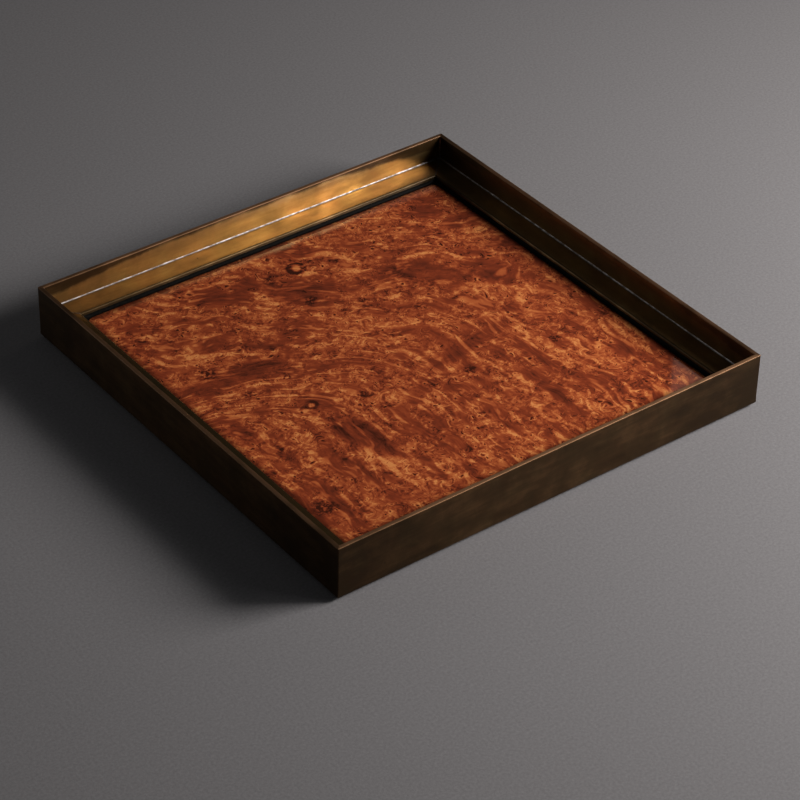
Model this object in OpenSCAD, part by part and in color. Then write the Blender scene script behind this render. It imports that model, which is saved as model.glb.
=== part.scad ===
// Square serving tray: folded brass walls with a hemmed rim, a stepped inner
// ledge of folded brass angle, and a burl-veneered board set into the floor.
// Millimetres, +Z up, origin at the centre of the footprint on the table.

/* [Walls] */
// Outer width and depth of the square tray
tray_w = 400; // [300:1:500]
// Height of a wall, from the underside of its flange to the rim
wall_h = 46.5; // [42:0.5:60]
// Thickness of the brass sheet; the hemmed rim is two sheets thick
sheet_t = 1.8; // [1.4:0.1:2]
// Radius of the rim's eased edges
rim_edge_r = 0.6; // [0.3:0.1:1]
// Outer radius of the fold between wall and flange
fold_r = 3; // [2.4:0.1:4]
// Width of the flange under the tray, from the outer face
flange_w = 40; // [38:1:50]

/* [Ledge] */
// Depth of the ledge below the rim
ledge_depth = 21.5; // [18:0.5:23]
// Inset of the ledge's inner edge from the outer face
ledge_inset = 24.2; // [20:0.1:26]
// Radius of the ledge's folded edge; the sheet is scored, so its inner corner is sharp
bend_r = 1.3; // [0.8:0.1:1.4]

/* [Panel] */
// Thickness of the core board
core_t = 16; // [14:0.5:16.5]
// Thickness of the lacquered burl veneer and of the backing veneer
veneer_t = 0.8; // [0.5:0.1:1]
// Gap between the panel's edge and the ledge angle
panel_gap = 0.3; // [0.2:0.05:1]
// Width of the black sealant on the panel
seal_w = 3; // [2:0.1:6]
// Height of the black sealant on the ledge angle
seal_h = 3; // [2:0.1:3.2]
// Radius of the sealant's wiped inner corners
seal_corner_r = 6; // [4:0.5:10]

/* [Solder] */
// Leg of the solder fillet between wall and ledge
fillet_leg = 1.6; // [1:0.1:2]
// Leg of the solder fillet in a wall corner
corner_leg = 0.9; // [0.6:0.1:1.2]
// Width of the solder seam over a ledge mitre
seam_w = 1.1; // [0.8:0.1:1.6]
// Height of the solder seam over a ledge mitre
seam_h = 0.25; // [0.2:0.05:0.4]

/* [Feet and screws] */
// Thickness of the felt pads
pad_h = 1.5; // [1:0.25:3]
// Radius of the felt pads
pad_r = 9; // [6:0.5:12]
// Inset of the felt pads' centres from the outer faces
pad_inset = 17; // [16:0.5:18]
// Number of screws along each side
screws_per_side = 3; // [2:1:3]
// Distance between screws along a side
screw_pitch = 110; // [50:5:110]
// Inset of the screws from the outer face
screw_inset = 33; // [31:0.5:34]
// Length of a screw
screw_l = 13; // [10:0.5:15]

/* [Hidden] */
$fn = 64;
eps = 0.01;
screw_r = 1.5;
screw_head_r = 2.9;
screw_head_h = 1.4;
screw_slot_w = 0.8;
screw_slot_depth = 0.6;
screw_tip_h = 3;
screw_tip_r = 0.3;
screw_play = 0.05;
seal_steps = 8;
half = tray_w / 2;
rim_w = 2 * sheet_t;
rim_z = pad_h + wall_h;
flange_z = pad_h + sheet_t;
ledge_z = rim_z - ledge_depth;
panel_half = half - ledge_inset - panel_gap;
core_z = flange_z + veneer_t;
veneer_z = core_z + core_t;
panel_z = veneer_z + veneer_t;
brass = "#8a6a35";
solder_grey = "#b9b2a6";

// Turn about Z that carries a front part to each of the four sides.
FRONT = 0;
RIGHT = 90;
REAR = 180;
LEFT = 270;
SIDES = [FRONT, RIGHT, REAR, LEFT];

// Extrudes a profile along one side and cuts its ends to 45 degree mitres.
// The profile's x runs inwards from the outer face and its y is height.
module mitred_side(turn) {
    rotate([0, 0, turn])
    intersection() {
        translate([-half - 1, -half, 0])
        rotate([90, 0, 90])
        linear_extrude(tray_w + 2) children();
        linear_extrude(2 * rim_z)
        polygon([[-half, -half], [half, -half], [0, 0]]);
    }
}

// The quarter of a flat ring that lies towards -x and -y, for a bend.
module quarter_ring(outer_r, inner_r) {
    intersection() {
        difference() {
            circle(outer_r);
            circle(inner_r);
        }
        translate([-outer_r, -outer_r]) square(outer_r);
    }
}

// Doubled upper wall with eased top edges.
module hem_profile() {
    shoulder_z = rim_z - rim_edge_r;
    translate([0, ledge_z]) square([rim_w, shoulder_z - ledge_z]);
    translate([rim_edge_r, shoulder_z]) square([rim_w - 2 * rim_edge_r, rim_edge_r]);
    for (x = [rim_edge_r, rim_w - rim_edge_r])
    translate([x, shoulder_z]) circle(rim_edge_r);
}

// Hem, upright sheet, fold and the flange that turns under the tray.
module wall_profile() {
    hem_profile();
    translate([0, pad_h + fold_r]) square([sheet_t, ledge_z - pad_h - fold_r + eps]);
    translate([fold_r, pad_h + fold_r]) quarter_ring(fold_r, fold_r - sheet_t);
    translate([fold_r, pad_h]) square([flange_w - fold_r, sheet_t]);
}

// Scored and folded angle: the ledge on top and a riser that stands on the flange.
module ledge_profile() {
    translate([sheet_t, ledge_z - sheet_t])
    square([ledge_inset - bend_r - sheet_t, sheet_t]);
    translate([ledge_inset - bend_r, ledge_z - bend_r])
    intersection() {
        circle(bend_r);
        square(bend_r);
    }
    translate([ledge_inset - sheet_t, flange_z])
    square([sheet_t, ledge_z - bend_r - flange_z]);
}

// Solder in an inner corner, with a hollow face and its legs along +x and +y.
module fillet_profile(leg) {
    difference() {
        square(leg);
        translate([2 * leg, 2 * leg]) circle(sqrt(5) * leg);
    }
}

module wall(turn) {
    color(brass)
    difference() {
        mitred_side(turn) wall_profile();
        rotate([0, 0, turn]) screw_row() countersink();
    }
}

module ledge(turn) {
    color(brass) mitred_side(turn) ledge_profile();
}

module ledge_solder(turn) {
    color(solder_grey)
    mitred_side(turn)
    translate([rim_w, ledge_z]) fillet_profile(fillet_leg);
}

// Upright seams in the four wall corners and flat seams over the ledge mitres.
module corner_solder() {
    seam_gap = 0.3;
    seam_start = rim_w + fillet_leg + seam_gap;
    seam_end = ledge_inset - bend_r;
    seam_z = ledge_z + fillet_leg;
    color(solder_grey)
    for (turn = SIDES) rotate([0, 0, turn])
    translate([-half, -half, 0]) {
        translate([rim_w, rim_w, seam_z])
        linear_extrude(rim_z - rim_edge_r - seam_z) fillet_profile(corner_leg);
        rotate([0, 0, 45])
        translate([seam_start * sqrt(2), -seam_w / 2, ledge_z])
        cube([(seam_end - seam_start) * sqrt(2), seam_w, seam_h]);
    }
}

module panel_layer(z, thickness) {
    translate([-panel_half, -panel_half, z])
    cube([2 * panel_half, 2 * panel_half, thickness]);
}

module core_board() {
    color("#7a5a3c")
    difference() {
        panel_layer(core_z, core_t);
        all_screws() pilot_hole();
    }
}

module burl_veneer() {
    color("#a5501f") panel_layer(veneer_z, veneer_t);
}

module backing_veneer() {
    color("#3a2418")
    difference() {
        panel_layer(flange_z, veneer_t);
        all_screws() pilot_hole();
    }
}

// Section of the space over the sealant: x runs outwards from the centre of a
// wiped corner and y is height above the panel. The sealant's face is a
// parabola that leaves the panel flat and steepens towards the ledge angle.
module seal_cutter_profile() {
    reach = seal_corner_r + seal_w;
    face = [
        for (i = [0 : seal_steps])
        let (u = i / seal_steps)
        [seal_corner_r + seal_w * u, seal_h * u * u]
    ];
    polygon(concat([[0, 0]], face, [[reach, seal_h + 1], [0, seal_h + 1]]));
}

// Black fillet that seals the panel to the ledge angle all round.
module edge_sealant() {
    outer = half - ledge_inset;
    centre = outer - seal_w - seal_corner_r;
    color("#0c0b0a")
    translate([0, 0, panel_z])
    difference() {
        translate([-outer, -outer, 0]) cube([2 * outer, 2 * outer, seal_h]);
        translate([-centre, -centre, -1]) cube([2 * centre, 2 * centre, seal_h + 2]);
        for (turn = SIDES) rotate([0, 0, turn]) {
            translate([-centre, -centre, 0])
            rotate([90, 0, 90])
            linear_extrude(2 * centre) mirror([1, 0]) seal_cutter_profile();
            translate([-centre, -centre, 0]) rotate_extrude() seal_cutter_profile();
        }
    }
}

// Places its children at each screw of the front side, under the flange.
module screw_row() {
    for (i = [0 : screws_per_side - 1])
    translate([(i - (screws_per_side - 1) / 2) * screw_pitch, -half + screw_inset, pad_h])
    children();
}

module all_screws() {
    for (turn = SIDES) rotate([0, 0, turn])
    screw_row() children();
}

module countersink() {
    translate([0, 0, -eps])
    cylinder(h = screw_head_h + eps, r1 = screw_head_r + screw_play, r2 = screw_r + screw_play);
    cylinder(h = sheet_t + 1, r = screw_r + screw_play);
}

module pilot_hole() {
    cylinder(h = screw_l + screw_play, r = screw_r + screw_play);
}

// Slotted countersunk wood screw, head down, flush with the flange.
module screw() {
    difference() {
        union() {
            cylinder(h = screw_head_h, r1 = screw_head_r, r2 = screw_r);
            cylinder(h = screw_l - screw_tip_h, r = screw_r);
            translate([0, 0, screw_l - screw_tip_h])
            cylinder(h = screw_tip_h, r1 = screw_r, r2 = screw_tip_r);
        }
        translate([-screw_head_r - 1, -screw_slot_w / 2, -1])
        cube([2 * screw_head_r + 2, screw_slot_w, screw_slot_depth + 1]);
    }
}

module panel_screws() {
    color("#b08d4a") all_screws() screw();
}

module foot_pad(x_side, y_side) {
    color("#1d1b1a")
    translate([x_side * (half - pad_inset), y_side * (half - pad_inset), 0])
    cylinder(h = pad_h, r = pad_r);
}

wall(FRONT);  // wall_front
wall(RIGHT);  // wall_right
wall(REAR);  // wall_rear
wall(LEFT);  // wall_left
ledge(FRONT);  // ledge_front
ledge(RIGHT);  // ledge_right
ledge(REAR);  // ledge_rear
ledge(LEFT);  // ledge_left
ledge_solder(FRONT);  // solder_front
ledge_solder(RIGHT);  // solder_right
ledge_solder(REAR);  // solder_rear
ledge_solder(LEFT);  // solder_left
corner_solder();
core_board();
burl_veneer();
backing_veneer();
edge_sealant();
panel_screws();
foot_pad(-1, -1);  // foot_pad_front_left
foot_pad(1, -1);  // foot_pad_front_right
foot_pad(1, 1);  // foot_pad_rear_right
foot_pad(-1, 1);  // foot_pad_rear_left
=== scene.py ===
"""Looks of the square brass tray: aged brass walls and ledge, silver solder, a
glossy burl floor, black sealant and felt pads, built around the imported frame."""

import math

import bmesh
import bpy
from mathutils import Euler, Matrix, Vector, noise


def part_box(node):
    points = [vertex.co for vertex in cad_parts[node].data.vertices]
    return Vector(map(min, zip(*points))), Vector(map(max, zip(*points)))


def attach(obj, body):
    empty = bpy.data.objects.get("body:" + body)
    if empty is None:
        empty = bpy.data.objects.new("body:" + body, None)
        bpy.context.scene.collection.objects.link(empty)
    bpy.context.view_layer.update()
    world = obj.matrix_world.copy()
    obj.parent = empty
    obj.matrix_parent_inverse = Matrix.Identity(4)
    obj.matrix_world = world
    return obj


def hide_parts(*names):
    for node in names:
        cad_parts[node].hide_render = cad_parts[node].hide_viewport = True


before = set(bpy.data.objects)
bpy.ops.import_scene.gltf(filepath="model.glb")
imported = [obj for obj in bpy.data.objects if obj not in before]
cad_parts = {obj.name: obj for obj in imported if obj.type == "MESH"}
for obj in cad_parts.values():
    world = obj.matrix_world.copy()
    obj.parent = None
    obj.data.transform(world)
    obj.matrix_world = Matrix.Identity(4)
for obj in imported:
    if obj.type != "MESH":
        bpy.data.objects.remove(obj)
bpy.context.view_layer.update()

# Driving dimensions, all in metres, read from the frame where it holds them.
MM = 0.001
WALL_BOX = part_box("wall_front")
LEDGE_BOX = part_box("ledge_front")
PANEL_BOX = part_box("burl_veneer")
BACKING_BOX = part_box("backing_veneer")
SEAL_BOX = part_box("edge_sealant")
SOLDER_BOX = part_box("solder_front")
SCREW_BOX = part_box("panel_screws")
HALF = -WALL_BOX[0].x
FLANGE_BOTTOM = WALL_BOX[0].z
FLANGE_TOP = BACKING_BOX[0].z
RIM_Z = WALL_BOX[1].z
SHEET = FLANGE_TOP - FLANGE_BOTTOM
RIM_W = 2 * SHEET
FLANGE_W = WALL_BOX[1].y - WALL_BOX[0].y
LEDGE_Z = LEDGE_BOX[1].z
LEDGE_INSET = HALF + LEDGE_BOX[1].y
PANEL_Z = PANEL_BOX[1].z
SOLDER_LEG = SOLDER_BOX[1].z - SOLDER_BOX[0].z
SEAL_H = SEAL_BOX[1].z - SEAL_BOX[0].z
SEAL_W = 3.0 * MM
SEAL_CORNER_R = 6.0 * MM
FOLD_R = 3.0 * MM
BEND_R = 1.3 * MM
EDGE_R = 0.6 * MM
CORNER_R = 0.7 * MM
MITRE_ZONE = 2 * MM
SCREW_HEAD_R = 2.9 * MM
SCREW_HOLE_R = 1.55 * MM
SCREW_HEAD_H = 1.4 * MM
SCREW_PITCH = 110 * MM
SCREW_INSET = HALF - SCREW_BOX[1].y + SCREW_HEAD_R
# Each side's turn about Z in degrees, and the corners in the same order.
SIDES = {"front": 0, "right": 90, "rear": 180, "left": 270}
PAD_CORNERS = ("front_left", "front_right", "rear_right", "rear_left")
# The first seed of each kind of piece; the sides and corners count on from it.
WALL_SEED = 1
LEDGE_SEED = 11
FILLET_SEED = 21
UPRIGHT_SEED = 31
MITRE_SEED = 41
SEAL_SEED = 51
PAD_SEED = 61

# Knots in the burl, in millimetres: open eyes (x, y, radius, tone taken off in
# the dark ring) and dark clusters (x, y, radius).
EYES = [(3, 136, 6.2, 0.46), (-95, -22, 4.2, 0.16)]
SMUDGES = [
    (31, -56, 6),
    (-138, 58, 10),
    (-55, -33, 5),
    (-14, 92, 6),
    (20, 69, 4),
    (112, -62, 6),
    (-160, -130, 9),
]
# Streaks across the burl, in millimetres and degrees: (x, y, half length, half
# width, turn from +X, tone), smooth and dark below a tone of 0, light above it.
STREAKS = [
    (86, 72, 42, 15, -50, -0.18),
    (-84, -78, 34, 17, -80, -0.12),
    (-128, 42, 50, 13, -8, -0.10),
    (55, -28, 50, 9, 10, -0.13),
    (-22, 108, 30, 12, -60, -0.12),
    (128, 12, 45, 5, -48, 0.17),
    (-82, -118, 24, 5, -40, 0.18),
    (-100, -106, 18, 4, 65, 0.17),
    (28, 22, 60, 6, -30, 0.12),
    (-110, 122, 44, 7, 12, 0.10),
    (-125, 92, 36, 6, 40, 0.10),
    (95, -60, 50, 5, -75, 0.08),
]

# Colours from the darkest tone to the lightest: the burl's, bright brass's, and
# dull brass's on the walls and on the ledge.
BURL_TONES = [
    (0.15, (0.050, 0.012, 0.006)),
    (0.25, (0.140, 0.027, 0.012)),
    (0.38, (0.250, 0.044, 0.016)),
    (0.50, (0.370, 0.074, 0.024)),
    (0.62, (0.510, 0.124, 0.037)),
    (0.76, (0.680, 0.212, 0.063)),
    (0.88, (0.770, 0.280, 0.084)),
]
BRIGHT_BRASS = [
    (0.32, (0.225, 0.137, 0.057)),
    (0.50, (0.315, 0.200, 0.085)),
    (0.68, (0.400, 0.268, 0.125)),
]
WALL_DULL = [
    (0.32, (0.042, 0.023, 0.0098)),
    (0.50, (0.080, 0.043, 0.0180)),
    (0.68, (0.165, 0.089, 0.038)),
]
LEDGE_DULL = [
    (0.32, (0.045, 0.028, 0.0125)),
    (0.50, (0.090, 0.055, 0.025)),
    (0.68, (0.180, 0.110, 0.050)),
]


# ------------------------------------------------------------------ camera
def make_camera():
    """Looks at a point on the table a little in front of the tray's centre."""
    azimuth = math.radians(-37.8)
    elevation = math.radians(36.4)
    roll = math.radians(1.24)
    distance = 2.273
    target = Vector((-0.0192, -0.0336, 0))
    back = Vector((
        math.sin(azimuth) * math.cos(elevation),
        -math.cos(azimuth) * math.cos(elevation),
        math.sin(elevation),
    ))
    data = bpy.data.cameras.new("camera")
    data.lens = 132.3
    data.sensor_width = 36
    camera = bpy.data.objects.new("camera", data)
    bpy.context.scene.collection.objects.link(camera)
    camera.rotation_mode = "QUATERNION"
    camera.location = target + back * distance
    look = (-back).to_track_quat("-Z", "Y")
    camera.rotation_quaternion = look @ Euler((0, 0, roll)).to_quaternion()
    bpy.context.scene.camera = camera


make_camera()


# ----------------------------------------------------------- mesh helpers
def grain(*place, seed=0.0):
    """Smooth repeatable noise from 0 to 1 at a place given by up to three numbers."""
    seed_step = Vector((7.31, 3.17, 5.77))
    point = Vector((*place, 0, 0)[:3]) + seed * seed_step
    return 0.5 + 0.5 * noise.noise(point)


def new_piece(name, bm, smooth_angle=40):
    """Turns a bmesh into an object, smooth but for edges sharper than the angle."""
    bmesh.ops.remove_doubles(bm, verts=bm.verts, dist=1e-7)
    bmesh.ops.recalc_face_normals(bm, faces=bm.faces)
    mesh = bpy.data.meshes.new(name)
    bm.to_mesh(mesh)
    bm.free()
    for face in mesh.polygons:
        face.use_smooth = True
    mesh.set_sharp_from_angle(angle=math.radians(smooth_angle))
    piece = bpy.data.objects.new(name, mesh)
    bpy.context.scene.collection.objects.link(piece)
    return piece


def arc(centre, radius, start, stop, steps):
    """Points of an arc in a section, angles in degrees."""
    points = []
    for i in range(steps + 1):
        angle = math.radians(start + (stop - start) * i / steps)
        points.append((centre[0] + radius * math.cos(angle), centre[1] + radius * math.sin(angle)))
    return points


def line(start, stop, steps):
    """Points from start to stop in a section, both ends included."""
    points = []
    for i in range(steps + 1):
        points.append(tuple(a + (b - a) * i / steps for a, b in zip(start, stop)))
    return points


def stations(count, end_steps):
    """Places along a side, closer together within MITRE_ZONE of each end."""
    inner = HALF - MITRE_ZONE
    ends = [inner + MITRE_ZONE * i / end_steps for i in range(1, end_steps + 1)]
    middle = [-inner + 2 * inner * i / count for i in range(count + 1)]
    return [-s for s in reversed(ends)] + middle + ends


def girth(section):
    """Length along a closed section up to each of its points."""
    total, lengths = 0.0, [0.0]
    for a, b in zip(section, section[1:] + section[:1]):
        total += math.dist(a, b)
        lengths.append(total)
    return lengths


def skin(bm, rings, closed=False):
    """Joins rings of vertices, and caps both ends unless they close into a loop."""
    count = len(rings[0])
    followers = rings[1:] + rings[:1] if closed else rings[1:]
    for low, high in zip(rings, followers):
        for i in range(count):
            j = (i + 1) % count
            bm.faces.new((low[i], low[j], high[j], high[i]))
    if not closed:
        bm.faces.new(rings[0])
        bm.faces.new(rings[-1])


def lathe(bm, section, steps, centre):
    """Revolves an open section of (radius, z) points about an upright axis."""
    turns = [2 * math.pi * i / steps for i in range(steps)]
    rings = []
    for radius, z in section:
        if radius == 0:
            rings.append([bm.verts.new((*centre, z))])
            continue
        rings.append([
            bm.verts.new((centre[0] + radius * math.cos(a), centre[1] + radius * math.sin(a), z))
            for a in turns
        ])
    for low, high in zip(rings, rings[1:]):
        for i in range(steps):
            j = (i + 1) % steps
            ends = [low[i % len(low)], low[j % len(low)]]
            ends += [high[j % len(high)], high[i % len(high)]]
            bm.faces.new(list(dict.fromkeys(ends)))


def mitred_sweep(section, places, shape):
    """Sweeps a closed section of (inset, z) points along the front side, with
    45 degree mitres at both ends. shape moves a point: it takes and returns
    (along, inset, z). The map "sheet" runs along the side and then round the
    section, both in metres."""
    bm = bmesh.new()
    sheet = bm.loops.layers.uv.new("sheet")
    lengths = girth(section)
    rings, alongs = [], []
    for place in places:
        ring, row = [], []
        for inset, z in section:
            along, inset, z = shape(place * (HALF - inset) / HALF, inset, z)
            ring.append(bm.verts.new((along, inset - HALF, z)))
            row.append(along)
        rings.append(ring)
        alongs.append(row)
    count = len(section)
    for k in range(len(rings) - 1):
        for i in range(count):
            j = (i + 1) % count
            face = bm.faces.new((rings[k][i], rings[k][j], rings[k + 1][j], rings[k + 1][i]))
            corners = ((k, i, i), (k, j, i + 1), (k + 1, j, i + 1), (k + 1, i, i))
            for loop, (row, column, step) in zip(face.loops, corners):
                loop[sheet].uv = (alongs[row][column], lengths[step])
    for ring in (rings[0], rings[-1]):
        face = bm.faces.new(ring)
        for loop, (inset, z) in zip(face.loops, section):
            loop[sheet].uv = (inset, z)
    return bm


def put_in_place(piece, node, degrees=0):
    """Turns a piece about Z to its own side and lets it stand for a CAD node."""
    piece.data.transform(Matrix.Rotation(math.radians(degrees), 4, "Z"))
    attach(piece, "root")
    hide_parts(node)
    return piece


# ------------------------------------------------------------------- walls
# Steps in the stretches of a wall's section, and the points of that section
# where its rim starts and stops and where its hem ends.
FOLD_STEPS = 8
UPRIGHT_STEPS = 10
EASE_STEPS = 4
HEM_STEPS = 5
RIM_START = FOLD_STEPS + UPRIGHT_STEPS
RIM_STOP = RIM_START + 2 * EASE_STEPS + 1
HEM_END = RIM_STOP + HEM_STEPS + 1


def wall_section():
    """Closed section of a wall: up the outside, over the hem, down the inside
    to the ledge, down the upright, round the fold and along the flange."""
    fold_centre = (FOLD_R, FLANGE_BOTTOM + FOLD_R)
    shoulder = RIM_Z - EDGE_R
    points = arc(fold_centre, FOLD_R, 270, 180, FOLD_STEPS)
    points += line((0, fold_centre[1]), (0, shoulder), UPRIGHT_STEPS)[1:-1]
    points += arc((EDGE_R, shoulder), EDGE_R, 180, 90, EASE_STEPS)
    points += arc((RIM_W - EDGE_R, shoulder), EDGE_R, 90, 0, EASE_STEPS)
    points += line((RIM_W, shoulder), (RIM_W, LEDGE_Z), HEM_STEPS)[1:]
    points += [(SHEET, LEDGE_Z)]
    points += arc(fold_centre, FOLD_R - SHEET, 180, 270, 5)
    points += [(FLANGE_W, FLANGE_TOP), (FLANGE_W, FLANGE_BOTTOM)]
    return points


def wall_shape(seed):
    """Rounds the upright corner and gives the sheet its slight unevenness."""
    straight_end = 20 * MM
    face_dent = 0.2 * MM
    rim_dip = 0.12 * MM
    corner = HALF - CORNER_R

    def shape(along, inset, z):
        upright = z > FLANGE_BOTTOM + FOLD_R
        if abs(along) > corner and inset < CORNER_R and upright:
            reach = Vector((abs(along) - corner, inset - CORNER_R))
            reach *= min(1, CORNER_R / reach.length)
            along = math.copysign(corner + reach.x, along)
            inset = CORNER_R + reach.y
        fade = min(1, (HALF - abs(along)) / straight_end)
        if inset < SHEET / 2 and upright:
            inset += face_dent * fade * grain(along * 22, z * 30, seed=seed)
        if z > RIM_Z - 2 * EDGE_R:
            z -= rim_dip * fade * grain(along * 35, seed=seed + 5)
        return along, inset, z

    return shape


def drill_countersinks(wall):
    """Cuts the screws' countersunk holes through the flange."""
    spare = 1 * MM
    mouth_r = SCREW_HEAD_R + 0.15 * MM
    section = [
        (0, FLANGE_BOTTOM - spare),
        (mouth_r, FLANGE_BOTTOM - spare),
        (mouth_r, FLANGE_BOTTOM),
        (SCREW_HOLE_R, FLANGE_BOTTOM + SCREW_HEAD_H),
        (SCREW_HOLE_R, FLANGE_TOP + spare),
        (0, FLANGE_TOP + spare),
    ]
    bm = bmesh.new()
    for i in (-1, 0, 1):
        lathe(bm, section, steps=32, centre=(i * SCREW_PITCH, SCREW_INSET - HALF))
    cutter = new_piece("cutter", bm)
    modifier = wall.modifiers.new("countersinks", "BOOLEAN")
    modifier.operation = "DIFFERENCE"
    modifier.solver = "EXACT"
    modifier.object = cutter
    graph = bpy.context.evaluated_depsgraph_get()
    drilled = bpy.data.meshes.new_from_object(wall.evaluated_get(graph))
    wall.modifiers.clear()
    wall.data = drilled
    bpy.data.objects.remove(cutter)


def build_wall(side, seed):
    """One side's wall, with its screw holes."""
    bm = mitred_sweep(wall_section(), stations(count=60, end_steps=5), wall_shape(seed))
    wall = new_piece("brass_wall_" + side, bm)
    drill_countersinks(wall)
    return put_in_place(wall, "wall_" + side, SIDES[side])


# ------------------------------------------------------------------- ledge
# Steps across the ledge's flat top, up to the point where its bend starts.
TOP_STEPS = 7


def ledge_section():
    """Closed section of the folded ledge angle, sharp in its scored inner corner."""
    centre = (LEDGE_INSET - BEND_R, LEDGE_Z - BEND_R)
    points = line((SHEET, LEDGE_Z), (centre[0], LEDGE_Z), TOP_STEPS)[:-1]
    points += arc(centre, BEND_R, 90, 0, 8)
    points += [(LEDGE_INSET, FLANGE_TOP), (LEDGE_INSET - SHEET, FLANGE_TOP)]
    points += [(LEDGE_INSET - SHEET, LEDGE_Z - SHEET), (SHEET, LEDGE_Z - SHEET)]
    return points


def ledge_shape(seed):
    """A ledge that dips by hairs between its soldered ends."""
    straight_end = 15 * MM
    dip = 0.15 * MM

    def shape(along, inset, z):
        if z > LEDGE_Z - BEND_R and inset > RIM_W:
            fade = min(1, max(0, HALF - inset - abs(along)) / straight_end)
            z -= dip * fade * grain(along * 25, inset * 60, seed=seed)
        return along, inset, z

    return shape


def build_ledge(side, seed):
    """One side's ledge angle."""
    bm = mitred_sweep(ledge_section(), stations(count=60, end_steps=3), ledge_shape(seed))
    ledge = new_piece("brass_ledge_" + side, bm)
    return put_in_place(ledge, "ledge_" + side, SIDES[side])


# ------------------------------------------------------------------ solder
def fillet_section(leg, root, steps=6):
    """Closed section of a hollow-faced fillet in a corner at (0, 0), set root
    deep into both of the faces it joins."""
    centre = (2 * leg, 2 * leg)
    reach = math.sqrt(5) * leg
    lean = math.degrees(math.atan2(1, 2))
    face = arc(centre, reach, 270 - lean, 180 + lean, steps)
    return [(-root, -root), (leg, -root), *face, (-root, leg)]


def build_ledge_solder(side, seed):
    """A hand-run fillet whose leg swells and thins along the wall."""
    root = 0.25 * MM
    section = [(RIM_W + x, LEDGE_Z + z) for x, z in fillet_section(SOLDER_LEG, root)]

    def shape(along, inset, z):
        swell = 0.3 * grain(along * 30, seed=seed)
        run = 0.35 + swell + 0.1 * grain(along * 160, seed=seed)
        if inset > RIM_W:
            inset = RIM_W + (inset - RIM_W) * run
        if z > LEDGE_Z:
            z = LEDGE_Z + (z - LEDGE_Z) * run
        return along, inset, z

    bm = mitred_sweep(section, stations(count=160, end_steps=2), shape)
    piece = new_piece("solder_fillet_" + side, bm, smooth_angle=60)
    return put_in_place(piece, "solder_" + side, SIDES[side])


def upright_seam(bm, seed):
    """Solder up the front left wall corner."""
    leg = 0.9 * MM
    root = 0.2 * MM
    low = LEDGE_Z + 0.3 * MM
    high = RIM_Z - EDGE_R
    steps = 24
    corner = RIM_W - HALF
    rings = []
    for k in range(steps + 1):
        z = low + (high - low) * k / steps
        run = 0.55 + 0.45 * grain(z * 300, seed=seed)
        ring = []
        for point in fillet_section(leg, root):
            x, y = [corner + (run * part if part > 0 else part) for part in point]
            ring.append(bm.verts.new((x, y, z)))
        rings.append(ring)
    skin(bm, rings)


def mitre_seam(bm, seed):
    """A low bead of solder over the front left ledge mitre."""
    half_w = 0.55 * MM
    rise = 0.28 * MM
    root = 0.2 * MM
    start = (RIM_W + 0.6 * MM) * math.sqrt(2)
    stop = (LEDGE_INSET - 0.5 * BEND_R) * math.sqrt(2)
    steps = 40
    dome = [(w * half_w, h * rise) for w, h in arc((0, 0), 1, 180, 0, 8)]
    section = [(-half_w, -root), *dome, (half_w, -root)]
    along = Vector((1, 1)).normalized()
    across = Vector((-1, 1)).normalized()
    rings = []
    for k in range(steps + 1):
        reach = start + (stop - start) * k / steps
        run = 0.6 + 0.4 * grain(reach * 250, seed=seed)
        drop = max(0, reach / math.sqrt(2) - (LEDGE_INSET - BEND_R))
        sag = BEND_R - math.sqrt(max(0, BEND_R ** 2 - drop ** 2))
        ring = []
        for w, h in section:
            place = along * reach + across * w * run
            ring.append(bm.verts.new((place.x - HALF, place.y - HALF, LEDGE_Z - sag + h * run)))
        rings.append(ring)
    skin(bm, rings)


def build_corner_solder():
    """The seams of one corner, repeated at all four."""
    bm = bmesh.new()
    for i, degrees in enumerate(SIDES.values()):
        part = bmesh.new()
        upright_seam(part, UPRIGHT_SEED + i)
        mitre_seam(part, MITRE_SEED + i)
        part.transform(Matrix.Rotation(math.radians(degrees), 4, "Z"))
        spare = bpy.data.meshes.new("seam")
        part.to_mesh(spare)
        part.free()
        bm.from_mesh(spare)
        bpy.data.meshes.remove(spare)
    return put_in_place(new_piece("corner_seams", bm, smooth_angle=60), "corner_solder")


# ---------------------------------------------------------- panel and seal
def build_panel():
    """The burl face: a thin slab with eased top edges."""
    ease = 0.3 * MM
    bm = bmesh.new()
    bmesh.ops.create_cube(bm, size=1)
    low, high = PANEL_BOX
    for vert in bm.verts:
        vert.co = Vector([(a + b) / 2 + c * (b - a) for a, b, c in zip(low, high, vert.co)])
    top = [e for e in bm.edges if all(v.co.z > high.z - 1e-6 for v in e.verts)]
    bmesh.ops.bevel(bm, geom=top, offset=ease, segments=3, affect="EDGES")
    return put_in_place(new_piece("burl_panel", bm), "burl_veneer")


def seal_stations():
    """Places round the sealant: (centre, direction, reach) where reach is the
    way from the wiped edge to the ledge angle."""
    side_steps = 90
    corner_steps = 17
    centre = HALF - LEDGE_INSET - SEAL_W - SEAL_CORNER_R
    stops = []
    for quarter in range(4):
        turn = Matrix.Rotation(math.pi / 2 * quarter, 2)
        for place in line((centre, -centre), (centre, centre), side_steps)[:-1]:
            stops.append((turn @ Vector(place), turn @ Vector((1, 0)), SEAL_W))
        for i in range(corner_steps):
            angle = math.pi / 2 * i / corner_steps
            way = Vector((math.cos(angle), math.sin(angle)))
            reach = (SEAL_CORNER_R + SEAL_W) / max(way) - SEAL_CORNER_R
            stops.append((turn @ Vector((centre, centre)), turn @ way, reach))
    return stops


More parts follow.
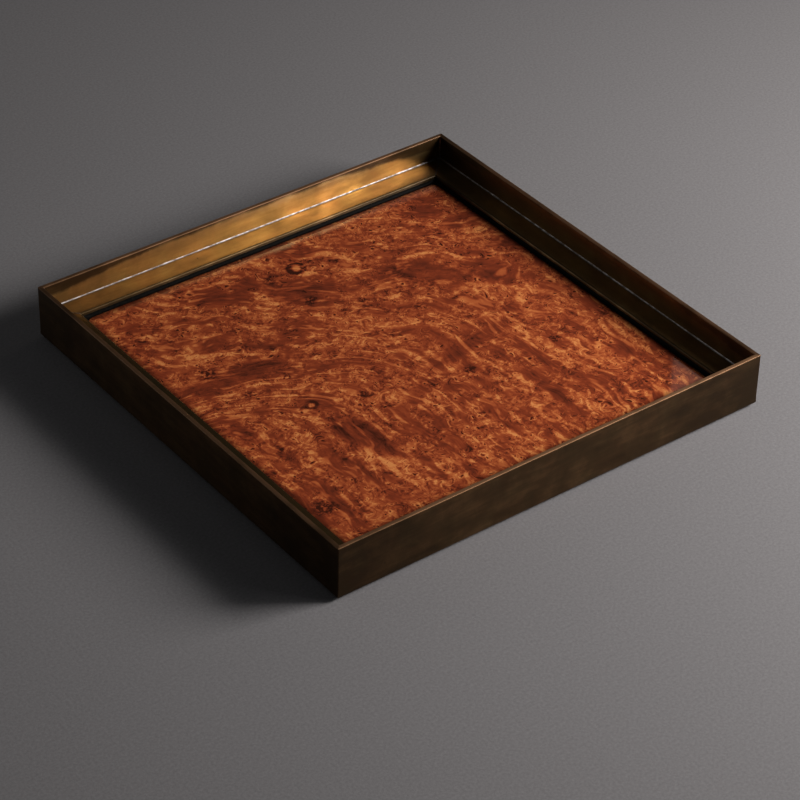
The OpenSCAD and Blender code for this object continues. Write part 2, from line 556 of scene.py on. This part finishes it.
def build_sealant():
    """A wiped bead all round: flat where it meets the panel, steep at the brass."""
    bm = bmesh.new()
    steps = 10
    root = 0.1 * MM
    rings = []
    for centre, way, reach in seal_stations():
        edge = centre + way * SEAL_CORNER_R
        wander = MM * (0.15 + 0.7 * grain(edge.x * 55, edge.y * 55, seed=SEAL_SEED))
        swell = 0.82 + 0.18 * grain(edge.x * 90, edge.y * 90, seed=SEAL_SEED + 1)
        ring = []
        for k in range(steps + 1):
            u = k / steps
            place = edge + way * (wander * (1 - u) + reach * u)
            ring.append(bm.verts.new((place.x, place.y, PANEL_Z + SEAL_H * swell * u ** 2)))
        back = edge + way * reach
        front = edge + way * wander
        ring.append(bm.verts.new((back.x, back.y, PANEL_Z - root)))
        ring.append(bm.verts.new((front.x, front.y, PANEL_Z - root)))
        rings.append(ring)
    skin(bm, rings, closed=True)
    return put_in_place(new_piece("black_sealant", bm, smooth_angle=60), "edge_sealant")


# ---------------------------------------------------------------- foot pads
def build_pad(corner, seed):
    """A punched felt disc with a soft, slightly fuzzy edge."""
    low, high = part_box("foot_pad_" + corner)
    centre = (low + high) / 2
    radius = (high.x - low.x) / 2
    soft = 0.4 * MM
    fuzz = 0.25 * MM
    section = [(0, low.z), (radius * 0.5, low.z)]
    section += arc((radius - soft, low.z + soft), soft, 270, 360, 5)
    section += arc((radius - soft, high.z - soft), soft, 0, 90, 5)
    section += [(radius * 0.5, high.z), (0, high.z)]
    bm = bmesh.new()
    lathe(bm, section, steps=96, centre=(centre.x, centre.y))
    for vert in bm.verts:
        out = Vector((vert.co.x - centre.x, vert.co.y - centre.y, 0))
        if out.length > radius - 2 * soft:
            vert.co -= out.normalized() * fuzz * grain(*(vert.co * 900), seed=seed)
    pad = new_piece("felt_pad_" + corner, bm, smooth_angle=80)
    return put_in_place(pad, "foot_pad_" + corner)


walls = {side: build_wall(side, WALL_SEED + i) for i, side in enumerate(SIDES)}
ledges = [build_ledge(side, LEDGE_SEED + i) for i, side in enumerate(SIDES)]
fillets = [build_ledge_solder(side, FILLET_SEED + i) for i, side in enumerate(SIDES)]
seams = build_corner_solder()
panel = build_panel()
sealant = build_sealant()
pads = [build_pad(corner, PAD_SEED + i) for i, corner in enumerate(PAD_CORNERS)]


# --------------------------------------------------------------- materials
class Graph:
    """Short calls for making the nodes of one material."""

    def __init__(self, name):
        self.material = bpy.data.materials.new(name)
        self.material.use_nodes = True
        self.tree = self.material.node_tree
        self.shader = self.tree.nodes["Principled BSDF"]

    def put(self, socket, value):
        """Links a socket to value, or sets it if value is plain."""
        if isinstance(value, bpy.types.NodeSocket):
            self.tree.links.new(value, socket)
        elif isinstance(value, tuple) and len(value) == 3 and len(socket.default_value) == 4:
            socket.default_value = (*value, 1)
        else:
            socket.default_value = value

    def node(self, kind, **values):
        """Adds a node; values go to its inputs, whose names have _ for spaces."""
        node = self.tree.nodes.new("ShaderNode" + kind)
        for key, value in values.items():
            self.put(node.inputs[key.replace("_", " ")], value)
        return node

    def set(self, **values):
        """Sets inputs of the material's shader."""
        for key, value in values.items():
            self.put(self.shader.inputs[key.replace("_", " ")], value)

    def in_mm(self, source, scale):
        """A place given in metres, turned into millimetres and then scaled."""
        size = tuple(part / MM for part in scale)
        return self.node("Mapping", Vector=source, Scale=size).outputs[0]

    def coords(self, scale=(1, 1, 1)):
        """Place in the tray's own frame, in millimetres, then scaled."""
        return self.in_mm(self.node("TexCoord").outputs["Object"], scale)

    def sheet(self, scale=(1, 1, 1)):
        """Place on a swept piece: along it and round its section, in millimetres,
        then scaled."""
        source = self.node("UVMap")
        source.uv_map = "sheet"
        return self.in_mm(source.outputs[0], scale)

    def noise(self, vector, size, detail=2.0, roughness=0.5, distortion=0.0, colour=False):
        """Noise from 0 to 1 with features about size across."""
        node = self.node(
            "TexNoise",
            Vector=vector,
            Scale=1 / size,
            Detail=detail,
            Roughness=roughness,
            Distortion=distortion,
        )
        return node.outputs["Color" if colour else "Fac"]

    def cells(self, vector, size):
        """Voronoi cells about size across: each place's Distance from its cell's
        point, that point's Position, and one random Color for the whole cell."""
        return self.node("TexVoronoi", Vector=vector, Scale=1 / size).outputs

    def chance(self, cells):
        """One random number from 0 to 1 for each whole cell."""
        return self.node("SeparateColor", Color=cells["Color"]).outputs[0]

    def math(self, operation, a, b=0.0):
        """Works on two numbers, or on the first alone."""
        node = self.node("Math")
        node.operation = operation
        self.put(node.inputs[0], a)
        self.put(node.inputs[1], b)
        return node.outputs[0]

    def blend_sum(self, level, *terms):
        """level plus, for each (factor, value), factor times value's step from 0.5."""
        total = level
        for factor, value in terms:
            step = self.math("SUBTRACT", value, 0.5)
            total = self.math("ADD", self.math("MULTIPLY", step, factor), total)
        return total

    def mix_value(self, amount, a, b):
        """Blends two numbers."""
        node = self.node("Mix")
        self.put(node.inputs[0], amount)
        self.put(node.inputs[2], a)
        self.put(node.inputs[3], b)
        return node.outputs[0]

    def length(self, vector):
        """A vector's length."""
        node = self.node("VectorMath")
        node.operation = "LENGTH"
        self.put(node.inputs[0], vector)
        return node.outputs["Value"]

    def vector(self, operation, a, b):
        """Works on two vectors, or scales a vector by a number."""
        node = self.node("VectorMath")
        node.operation = operation
        self.put(node.inputs[0], a)
        if operation == "SCALE":
            self.put(node.inputs["Scale"], b)
        else:
            self.put(node.inputs[1], b)
        return node.outputs[0]

    def fit(self, value, low, high, to_low=0.0, to_high=1.0):
        """Eases value from the range low..high to the range to_low..to_high."""
        node = self.node(
            "MapRange",
            Value=value,
            From_Min=low,
            From_Max=high,
            To_Min=to_low,
            To_Max=to_high,
        )
        node.interpolation_type = "SMOOTHSTEP"
        return node.outputs[0]

    def product(self, *values):
        """Multiplies numbers together."""
        total = values[0]
        for value in values[1:]:
            total = self.math("MULTIPLY", total, value)
        return total

    def off_centre(self, value):
        """How far value is from 0.5, either way."""
        return self.math("ABSOLUTE", self.math("SUBTRACT", value, 0.5))

    def mix(self, amount, a, b, blend="MIX"):
        """Blends two colours."""
        node = self.node("Mix")
        node.data_type = "RGBA"
        node.blend_type = blend
        self.put(node.inputs["Factor"], amount)
        self.put(node.inputs[6], a)
        self.put(node.inputs[7], b)
        return node.outputs[2]

    def ramp(self, value, stops):
        """Colours along value, from a list of (position, colour)."""
        node = self.node("ValToRGB", Fac=value)
        marks = node.color_ramp.elements
        marks[0].position, marks[0].color = stops[0][0], (*stops[0][1], 1)
        marks[1].position, marks[1].color = stops[-1][0], (*stops[-1][1], 1)
        for position, colour in stops[1:-1]:
            marks.new(position).color = (*colour, 1)
        return node.outputs[0]

    def bump(self, height, distance, strength=1.0):
        """Normal of a relief that is distance metres high."""
        return self.node("Bump", Height=height, Distance=distance, Strength=strength).outputs[0]

    def warp(self, vector, size, reach, detail=2.0):
        """Shifts a place by smooth noise, by up to about reach."""
        shift = self.noise(vector, size, detail, colour=True)
        push = self.vector("SUBTRACT", shift, (0.5, 0.5, 0.5))
        return self.vector("ADD", vector, self.vector("SCALE", push, 2 * reach))


def brass_material(name, clean_zone, rim_zone, dull, shade=1.0):
    """Brass brushed along the sheet and browned by age in soft clouds, and darker
    towards its ends in painted shade of the tray's corners. Round the section,
    from and to in mm, clean_zone is kept bright, times a factor of painted shade,
    and rim_zone is worn to a reddish brown: the rest has the dull colours."""
    corner_shade_reach = 120
    worn_brown = (0.24, 0.128, 0.066)
    pit_black = (0.03, 0.018, 0.01)
    hues = [(0.40, (1.0, 0.955, 0.89)), (0.60, (0.975, 1.0, 0.93))]
    # Painted shade: the bright colours are darkened for a wall that stands in shade.
    bright = [(tone, tuple(shade * part for part in rgb)) for tone, rgb in BRIGHT_BRASS]

    g = Graph(name)
    place = g.coords()
    clouds = g.noise(g.warp(place, 50, 12), 28, 5, 0.6)
    blotches = g.noise(g.sheet((0.16, 1, 1)), 8, 3, 0.5)
    strokes = g.noise(g.sheet((0.02, 1, 1)), 0.8, 3, 0.6)
    along, across = g.node("SeparateXYZ", Vector=g.sheet()).outputs[:2]
    # Painted shade: towards the tray's corners the brass darkens and its clean zone shrinks.
    ends = g.fit(g.math("ABSOLUTE", along), HALF / MM - corner_shade_reach, HALF / MM - 5)
    age = g.blend_sum(0.42, (0.7, clouds), (0.5, blotches), (0.15, strokes), (-0.17, ends))

    frayed = g.blend_sum(across, (7.0, clouds), (1.5, strokes), (-8.0, ends))
    clean = g.product(
        g.fit(frayed, clean_zone[0] + 4.0, clean_zone[0] + 7.5),
        g.fit(across, clean_zone[1] + 0.4, clean_zone[1] - 0.6),
    )
    rim = g.product(
        g.fit(across, rim_zone[0] - 0.3, rim_zone[0] + 0.3),
        g.fit(across, rim_zone[1] + 0.3, rim_zone[1] - 0.3),
    )
    worn = g.product(rim, g.fit(age, 0.25, 0.55, 0.4, 1.0))
    hue = g.ramp(g.noise(g.warp(place, 20, 8), 22, 3), hues)
    colour = g.mix(clean, g.ramp(age, dull), g.ramp(age, bright))
    colour = g.mix(1.0, colour, hue, "MULTIPLY")
    colour = g.mix(worn, colour, worn_brown)

    pits = g.cells(g.warp(place, 8, 2), 26)
    pit = g.product(g.fit(pits["Distance"], 0.03, 0.018), g.fit(g.chance(pits), 0.62, 0.66))
    dull_rough = g.fit(age, 0.35, 0.7, 0.56, 0.42)
    clean_rough = g.fit(age, 0.35, 0.7, 0.39, 0.28)
    rough = g.mix_value(clean, dull_rough, clean_rough)
    tangent = g.node("Tangent")
    tangent.direction_type = "UV_MAP"
    tangent.uv_map = "sheet"
    relief = g.math("ADD", g.product(strokes, 0.5), g.product(pit, -3.0))
    g.set(
        Base_Color=g.mix(pit, colour, pit_black),
        Metallic=1.0,
        Roughness=g.mix_value(rim, rough, 0.62),
        Anisotropic=0.3,
        Anisotropic_Rotation=0.25,
        Coat_Weight=0.12,
        Coat_Roughness=0.25,
        Coat_IOR=1.5,
        Tangent=tangent.outputs[0],
        Normal=g.bump(relief, 0.02 * MM, 0.6),
    )
    return g.material


def solder_material():
    """Silver solder, wiped and a little dulled."""
    g = Graph("silver_solder")
    place = g.coords()
    dull = g.noise(place, 5, 4, 0.65)
    g.set(
        Base_Color=g.ramp(dull, [(0.38, (0.13, 0.105, 0.09)), (0.62, (0.31, 0.282, 0.272))]),
        Metallic=1.0,
        Roughness=g.fit(dull, 0.35, 0.65, 0.55, 0.42),
        Normal=g.bump(g.noise(place, 1.2, 3), 0.06 * MM),
    )
    return g.material


def burl_bands(g, place, bent):
    """Dark and light bands that turn slowly over the panel, and the finer
    strands and light wisps that follow them."""
    pivot = (-60.0, -60.0, 0.0)
    y = g.node("SeparateXYZ", Vector=place).outputs[1]
    slow = g.warp(g.warp(place, 75, 26, 1), 22, 5, 1)
    lean = g.fit(y, -60, 60, 0.0, -1.0)
    flow = g.node("VectorRotate", Vector=slow, Center=pivot, Angle=lean).outputs[0]
    patches = g.noise(g.vector("MULTIPLY", flow, (1.0, 0.5, 1.0)), 22, 2)
    columns = g.noise(g.vector("MULTIPLY", bent, (1.0, 0.16, 1.0)), 12, 2)
    columns = g.blend_sum(0.5, (1.35, columns))
    bands = g.mix_value(g.fit(y, 0, -60, 0.0, 0.8), patches, columns)
    strands = g.noise(g.vector("MULTIPLY", flow, (1.0, 0.10, 1.0)), 2.6, 3, 0.55)
    wisps = g.noise(g.vector("MULTIPLY", flow, (1.0, 0.16, 1.0)), 6.0, 1)
    return bands, strands, g.fit(wisps, 0.55, 0.68)


def add_streaks(g, place, level, clumps):
    """Adds each streak's tone to level, and smooths the clumps under dark ones."""
    loose = g.warp(place, 20, 5)
    for x, y, half_length, half_width, turn, change in STREAKS:
        local = g.node(
            "Mapping",
            Vector=loose,
            Location=(x, y, PANEL_Z / MM),
            Rotation=(0, 0, math.radians(turn)),
            Scale=(half_length, half_width, half_width),
        )
        local.vector_type = "TEXTURE"
        inside = g.fit(g.length(local.outputs[0]), 1.3, 0.5)
        level = g.math("ADD", g.product(inside, change), level)
        if change < 0:
            kept = g.math("SUBTRACT", 1.0, g.product(inside, 0.85))
            clumps = g.product(clumps, kept)
    return level, clumps


def add_small_eyes(g, curled, detail):
    """Eyes of three sizes, each a dark pupil in a light halo, in some cells only."""
    for size, share in ((3.2, 0.28), (4.8, 0.5), (8.0, 0.55)):
        eyes = g.cells(curled, size)
        away = eyes["Distance"]
        chosen = g.fit(g.chance(eyes), share, share + 0.1)
        pupil = g.product(g.fit(away, 0.24, 0.10), chosen)
        halo = g.product(g.fit(away, 0.14, 0.26), g.fit(away, 0.46, 0.32), chosen)
        detail = g.math("ADD", detail, g.product(halo, 0.12))
        detail = g.math("SUBTRACT", detail, g.product(pupil, 0.34))
    return detail


def add_knots(g, place, tone, fine, middle):
    """The open eyes, light in a dark ring, and the clusters of dark specks."""
    ragged = g.warp(place, 4, 1.2)

    def distance_from(x, y):
        return g.length(g.vector("SUBTRACT", ragged, (x, y, PANEL_Z / MM)))

    for x, y, radius, depth in EYES:
        away = distance_from(x, y)
        heart = g.fit(away, 0.8 * radius, 0.4 * radius, 0.0, 0.8)
        tone = g.mix_value(heart, tone, g.blend_sum(0.74, (1.2, fine)))
        off_ring = g.math("ABSOLUTE", g.math("SUBTRACT", away, radius))
        ring = g.fit(off_ring, 0.6 * radius, 0.15 * radius)
        tone = g.math("SUBTRACT", tone, g.product(ring, g.blend_sum(depth, (-0.5, middle))))
    specks = g.fit(g.noise(ragged, 3.0, 3, 0.6), 0.36, 0.60)
    for x, y, radius in SMUDGES:
        near = g.fit(distance_from(x, y), 1.3 * radius, 0.2 * radius, 0.0, 0.44)
        tone = g.math("SUBTRACT", tone, g.product(specks, near))
    return tone


def painted_edge_shade(g, place, middle):
    """Painted shade by the walls and ledge: how much burl colour stays, least at the edges."""
    width = 7.0
    x, y = g.node("SeparateXYZ", Vector=place).outputs[:2]
    edge = g.math("MAXIMUM", g.math("ABSOLUTE", x), g.math("ABSOLUTE", y))
    wiped = (HALF - LEDGE_INSET - SEAL_W) / MM
    return g.fit(g.blend_sum(edge, (5.0, middle)), wiped - width, wiped + 1.0, 1.0, 0.30)


def burl_material():
    """Lacquered burl: smooth dark bands flow between clumps of small curled eyes.
    Painted shade by the walls and ledge darkens it towards its edges."""
    plain_tone = 0.528
    g = Graph("lacquered_burl")
    place = g.coords()
    bent = g.warp(place, 17, 6, 2)
    buds = g.cells(bent, 15)
    spin = g.fit(buds["Distance"], 0.50, 0.05, 0.0, 2.2)
    whorl = g.node("VectorRotate", Vector=bent, Center=buds["Position"], Angle=spin).outputs[0]
    curled = g.warp(whorl, 6.0, 2.0, 1)
    fine = g.noise(curled, 3.3, 4, 0.65)
    middle = g.noise(whorl, 10, 2)

    bands, strands, wisps = burl_bands(g, place, bent)
    clumps = g.blend_sum(0.5, (1.0, bands), (0.9, g.noise(bent, 16, 2)))
    level, clumps = add_streaks(g, place, plain_tone, g.fit(clumps, 0.33, 0.50))
    level = g.blend_sum(level, (0.58, bands), (0.22, middle), (0.38, strands), (0.24, wisps))
    folds = g.fit(g.off_centre(g.noise(curled, 6.5, 2)), 0.0, 0.05)
    detail = g.blend_sum(0.0, (0.55, middle), (1.05, fine), (0.05, folds))
    detail = add_small_eyes(g, curled, detail)
    tone = g.math("ADD", level, g.product(detail, clumps))
    tone = add_knots(g, place, tone, fine, middle)
    g.set(
        # Painted shade: the burl's colour darkens towards its edges, by the walls.
        Base_Color=g.vector("SCALE", g.ramp(tone, BURL_TONES), painted_edge_shade(g, place, middle)),
        Roughness=0.6,
        Specular_IOR_Level=0.0,
        Coat_Weight=1.0,
        Coat_Roughness=0.04,
        Coat_IOR=1.45,
        Coat_Normal=g.bump(g.noise(place, 28, 2), 0.05 * MM),
    )
    return g.material


def simple_wood(name, dark, light, roughness):
    """Straight-grained wood along X."""
    g = Graph(name)
    grain_lines = g.noise(g.coords((0.04, 1, 1)), 1.6, 4, 0.6, 0.4)
    g.set(
        Base_Color=g.ramp(grain_lines, [(0.35, dark), (0.65, light)]),
        Roughness=roughness,
        Normal=g.bump(grain_lines, 0.05 * MM),
    )
    return g.material


def sealant_material():
    """Black sealant with a faintly uneven skin."""
    blacks = [(0.3, (0.002, 0.002, 0.002)), (0.7, (0.006, 0.005, 0.004))]
    g = Graph("black_sealant")
    skin_noise = g.noise(g.coords(), 2.5, 3, 0.5)
    g.set(
        Base_Color=g.ramp(skin_noise, blacks),
        Roughness=g.fit(skin_noise, 0.3, 0.7, 0.3, 0.5),
        Specular_IOR_Level=0.01,
        Normal=g.bump(skin_noise, 0.12 * MM),
    )
    return g.material


def felt_material():
    """Dark felt of short tangled fibres."""
    g = Graph("felt")
    fibres = g.noise(g.warp(g.coords(), 1.2, 0.6), 0.35, 4, 0.7)
    g.set(
        Base_Color=g.ramp(fibres, [(0.35, (0.016, 0.015, 0.015)), (0.7, (0.055, 0.052, 0.05))]),
        Roughness=0.95,
        Sheen_Weight=0.5,
        Sheen_Roughness=0.5,
        Normal=g.bump(fibres, 0.25 * MM),
    )
    return g.material


def screw_material():
    """Newer brass than the walls', with fine marks."""
    g = Graph("screw_brass")
    marks = g.noise(g.coords(), 0.6, 4, 0.6)
    g.set(
        Base_Color=g.ramp(marks, [(0.35, (0.38, 0.26, 0.11)), (0.65, (0.66, 0.48, 0.23))]),
        Metallic=1.0,
        Roughness=g.fit(marks, 0.3, 0.7, 0.42, 0.26),
        Normal=g.bump(marks, 0.02 * MM),
    )
    return g.material


def dress(pieces, material):
    """Gives pieces one material in place of any they have."""
    for piece in pieces:
        piece.data.materials.clear()
        piece.data.materials.append(material)


# Zones round the sections, from and to in mm. Negative places lie before a
# section's first point: a clean zone that starts there takes in that point, and
# a zone that starts and stops there is empty.
BEFORE = -9
wall_girth = [length / MM for length in girth(wall_section())]
ledge_girth = [length / MM for length in girth(ledge_section())]
wall_clean = (wall_girth[RIM_STOP], wall_girth[HEM_END])
wall_rim = (wall_girth[RIM_START], wall_girth[RIM_STOP])
ledge_clean = (BEFORE, ledge_girth[TOP_STEPS])
no_rim = (BEFORE, BEFORE)
wall_brass = brass_material("wall_brass", wall_clean, wall_rim, WALL_DULL)
# Painted shade: the right wall's inner face turns away from the key, so it takes a darker copy of
# the wall brass.
shaded_right_brass = brass_material("painted_shade_wall_brass", wall_clean, wall_rim, WALL_DULL, shade=0.4)
dress(walls.values(), wall_brass)
dress([walls["right"]], shaded_right_brass)
dress(ledges, brass_material("ledge_brass", ledge_clean, no_rim, LEDGE_DULL))
dress([*fillets, seams], solder_material())
dress([panel], burl_material())
dress([sealant], sealant_material())
dress(pads, felt_material())
dress([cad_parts["panel_screws"]], screw_material())
backing_wood = simple_wood("backing", (0.030, 0.015, 0.008), (0.085, 0.044, 0.023), 0.65)
core_wood = simple_wood("core", (0.24, 0.15, 0.08), (0.36, 0.24, 0.14), 0.7)
dress([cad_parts["backing_veneer"]], backing_wood)
dress([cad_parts["core_board"]], core_wood)


# ------------------------------------------------------------------- stage
def make_floor():
    """A plain pale floor with a faint fleck, 12 m square."""
    half_side = 6
    bm = bmesh.new()
    bmesh.ops.create_grid(bm, x_segments=8, y_segments=8, size=half_side)
    floor = new_piece("floor", bm)
    g = Graph("floor_grey")
    fleck = g.noise(g.coords(), 2.2, 4, 0.7)
    g.set(
        Base_Color=g.ramp(fleck, [(0.3, (0.170, 0.163, 0.166)), (0.7, (0.236, 0.226, 0.231))]),
        Roughness=0.9,
        Normal=g.bump(fleck, 0.1 * MM),
    )
    dress([floor], g.material)


def area_light(name, place, aim, size, power, colour=(1, 1, 1)):
    """A soft rectangular light of a size in metres and a power in watts."""
    data = bpy.data.lights.new(name, "AREA")
    data.shape = "RECTANGLE"
    data.size, data.size_y = size
    data.energy = power
    data.color = colour
    light = bpy.data.objects.new(name, data)
    bpy.context.scene.collection.objects.link(light)
    light.location = place
    light.rotation_mode = "QUATERNION"
    light.rotation_quaternion = (Vector(aim) - Vector(place)).to_track_quat("-Z", "Y")
    light.visible_camera = False


def make_room():
    """A dark room that lights the tray very little, seen as a plain grey backdrop."""
    world = bpy.data.worlds.new("world")
    bpy.context.scene.world = world
    world.use_nodes = True
    nodes = world.node_tree.nodes
    links = world.node_tree.links
    dark = nodes["Background"]
    dark.inputs["Color"].default_value = (0.016, 0.017, 0.018, 1)
    backdrop = nodes.new("ShaderNodeBackground")
    backdrop.inputs["Color"].default_value = (0.16, 0.155, 0.158, 1)
    seen = nodes.new("ShaderNodeLightPath").outputs["Is Camera Ray"]
    choice = nodes.new("ShaderNodeMixShader")
    links.new(seen, choice.inputs[0])
    links.new(dark.outputs[0], choice.inputs[1])
    links.new(backdrop.outputs[0], choice.inputs[2])
    links.new(choice.outputs[0], nodes["World Output"].inputs["Surface"])


make_floor()
# Each light's name, place, aim, size and power, and its colour if not white.
# near_wall lights the floor behind the key, which shines forwards only.
area_light("key", (1.0, -0.70, 0.665), (0, 0, 0), (0.58, 0.50), 25.0, (1.0, 0.97, 0.95))
area_light("far_wall", (-0.95, 1.2, 1.07), (0, 0, 0), (1.1, 1.1), 0.45)
area_light("overhead", (0, 0.1, 2.0), (0, 0, 0), (1.1, 1.1), 0.5)
area_light("rear_fill", (-1.25, 1.30, 0.30), (0, 0, 0.02), (0.9, 0.35), 2.2)
area_light("near_wall", (2.6, -2.3, 1.9), (2.2, -2.0, 0), (1.8, 1.8), 26.0)
area_light("card", (0.955, 0.383, 0.66), (0.155, -0.387, 0.02), (0.4, 0.5), 0.3, (1.0, 0.88, 0.76))
make_room()
bpy.context.scene.view_settings.view_transform = "Standard"
